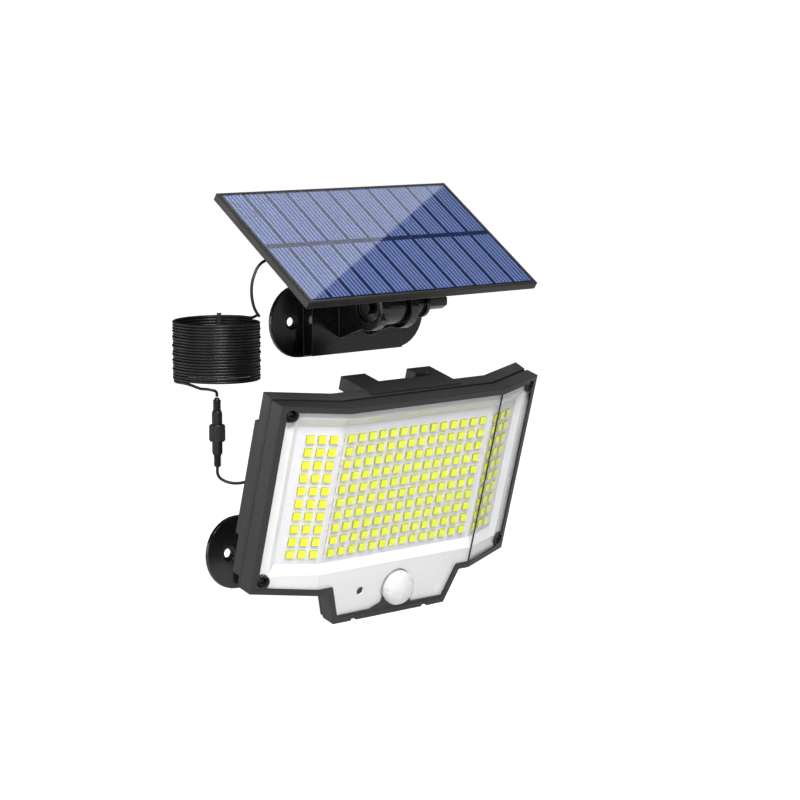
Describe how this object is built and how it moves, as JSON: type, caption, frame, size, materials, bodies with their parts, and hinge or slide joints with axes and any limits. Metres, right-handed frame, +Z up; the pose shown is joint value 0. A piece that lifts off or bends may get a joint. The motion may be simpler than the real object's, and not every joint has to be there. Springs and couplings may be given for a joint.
{
  "type": "solar flood light",
  "caption": "Folded LED flood lamp with motion sensor and a separate tilting solar panel, each on its own wall bracket, joined by a coiled cable with a screw-ring plug.",
  "frame": {"origin": "centre of the back face of the lamp's wall plate, on the wall", "axes": "+Y into the wall, -Y out to the viewer, +Z up, +X to the right of someone facing the wall"},
  "size_m": [0.2387, 0.1358, 0.2539],
  "materials": {
    "wall_bracket": "satin black moulded plastic",
    "housing": "fine-textured black moulded plastic",
    "panel_tray": "black moulded plastic",
    "reflector_white": "white moulded plastic",
    "circuit_white": "white solder mask with yellow phosphor LEDs",
    "clear_cover": "clear polycarbonate",
    "panel_cover": "clear laminate glass",
    "dome_milky": "translucent white",
    "solar_cells": "blue cells with silver lines",
    "steel": "zinc-plated",
    "rubber": "matt black",
    "cable_jacket": "smooth black PVC",
    "circuit_green": "green circuit board",
    "cell_wrap": "blue shrink wrap"
  },
  "bodies": {
    "wall_side": {"lamp_wall_plate": "wall_bracket", "panel_wall_plate": "wall_bracket", "lamp_pivot_bolt": "steel", "lamp_pivot_washer": "steel", "panel_pivot_bolt": "steel", "panel_pivot_washer": "steel", "panel_lead_upper": "cable_jacket", "cable_coil": "cable_jacket", "coil_tie": "rubber", "panel_lead_lower": "cable_jacket", "cable_plug": "rubber", "cable_socket": "rubber", "lamp_lead": "cable_jacket"},
    "lamp_head": {"front_bezel": "housing", "lens_cover": "clear_cover", "reflector": "reflector_white", "led_board_left": "circuit_white", "led_board_center": "circuit_white", "led_board_right": "circuit_white", "bezel_seal": "rubber", "rear_housing": "housing", "sensor_dome": "dome_milky", "bezel_screw_1": "steel", "bezel_screw_2": "steel", "bezel_screw_3": "steel", "bezel_screw_4": "steel", "motion_sensor": "steel", "light_sensor": "rubber", "sensor_board": "circuit_green", "battery_1": "cell_wrap", "battery_2": "cell_wrap", "battery_holder": "housing", "control_board": "circuit_green", "lamp_gland": "rubber", "button_bezel": "wall_bracket", "lamp_arm": "wall_bracket", "lamp_arm_screw_1": "steel", "lamp_arm_screw_2": "steel", "lamp_arm_screw_3": "steel", "lamp_arm_screw_4": "steel"},
    "panel_head": {"panel_frame": "panel_tray", "solar_laminate": "solar_cells", "panel_glass": "panel_cover", "junction_box": "panel_tray", "junction_lid": "panel_tray", "panel_gland": "rubber", "panel_arm": "wall_bracket", "panel_arm_screw_1": "steel", "panel_arm_screw_2": "steel", "panel_arm_screw_3": "steel", "panel_arm_screw_4": "steel"},
    "lamp_knob": {"lamp_knob": "wall_bracket"},
    "panel_knob": {"panel_knob": "wall_bracket"},
    "power_button": {"power_button": "rubber"},
    "coupling_nut": {"coupling_nut": "housing"}
  },
  "joints": [
    {"name": "panel_tilt", "type": "hinge", "parent": "wall_side", "child": "panel_head", "pos_m": [0.052, -0.038, 0.151], "axis": [1, 0, 0], "range_deg": [-1, 35], "deforming": ["panel_lead_upper"]},
    {"name": "lamp_tilt", "type": "hinge", "parent": "wall_side", "child": "lamp_head", "pos_m": [0, -0.038, 0.0096], "axis": [1, 0, 0], "range_deg": [-15, 45], "deforming": ["lamp_lead"]},
    {"name": "panel_knob_turn", "type": "hinge", "parent": "wall_side", "child": "panel_knob", "pos_m": [0.0873, -0.038, 0.151], "axis": [1, 0, 0], "continuous": true},
    {"name": "lamp_knob_turn", "type": "hinge", "parent": "wall_side", "child": "lamp_knob", "pos_m": [0.0353, -0.038, 0.0096], "axis": [1, 0, 0], "continuous": true},
    {"name": "button_press", "type": "slide", "parent": "lamp_head", "child": "power_button", "axis": [0, -0.9646, -0.2639], "range_m": [0, 0.0015], "stiffness_N_per_m": 400, "springref_m": -0.001},
    {"name": "nut_turn", "type": "hinge", "parent": "wall_side", "child": "coupling_nut", "pos_m": [-0.0926, -0.049, 0.0859], "axis": [0, 0, 1], "continuous": true}
  ]
}
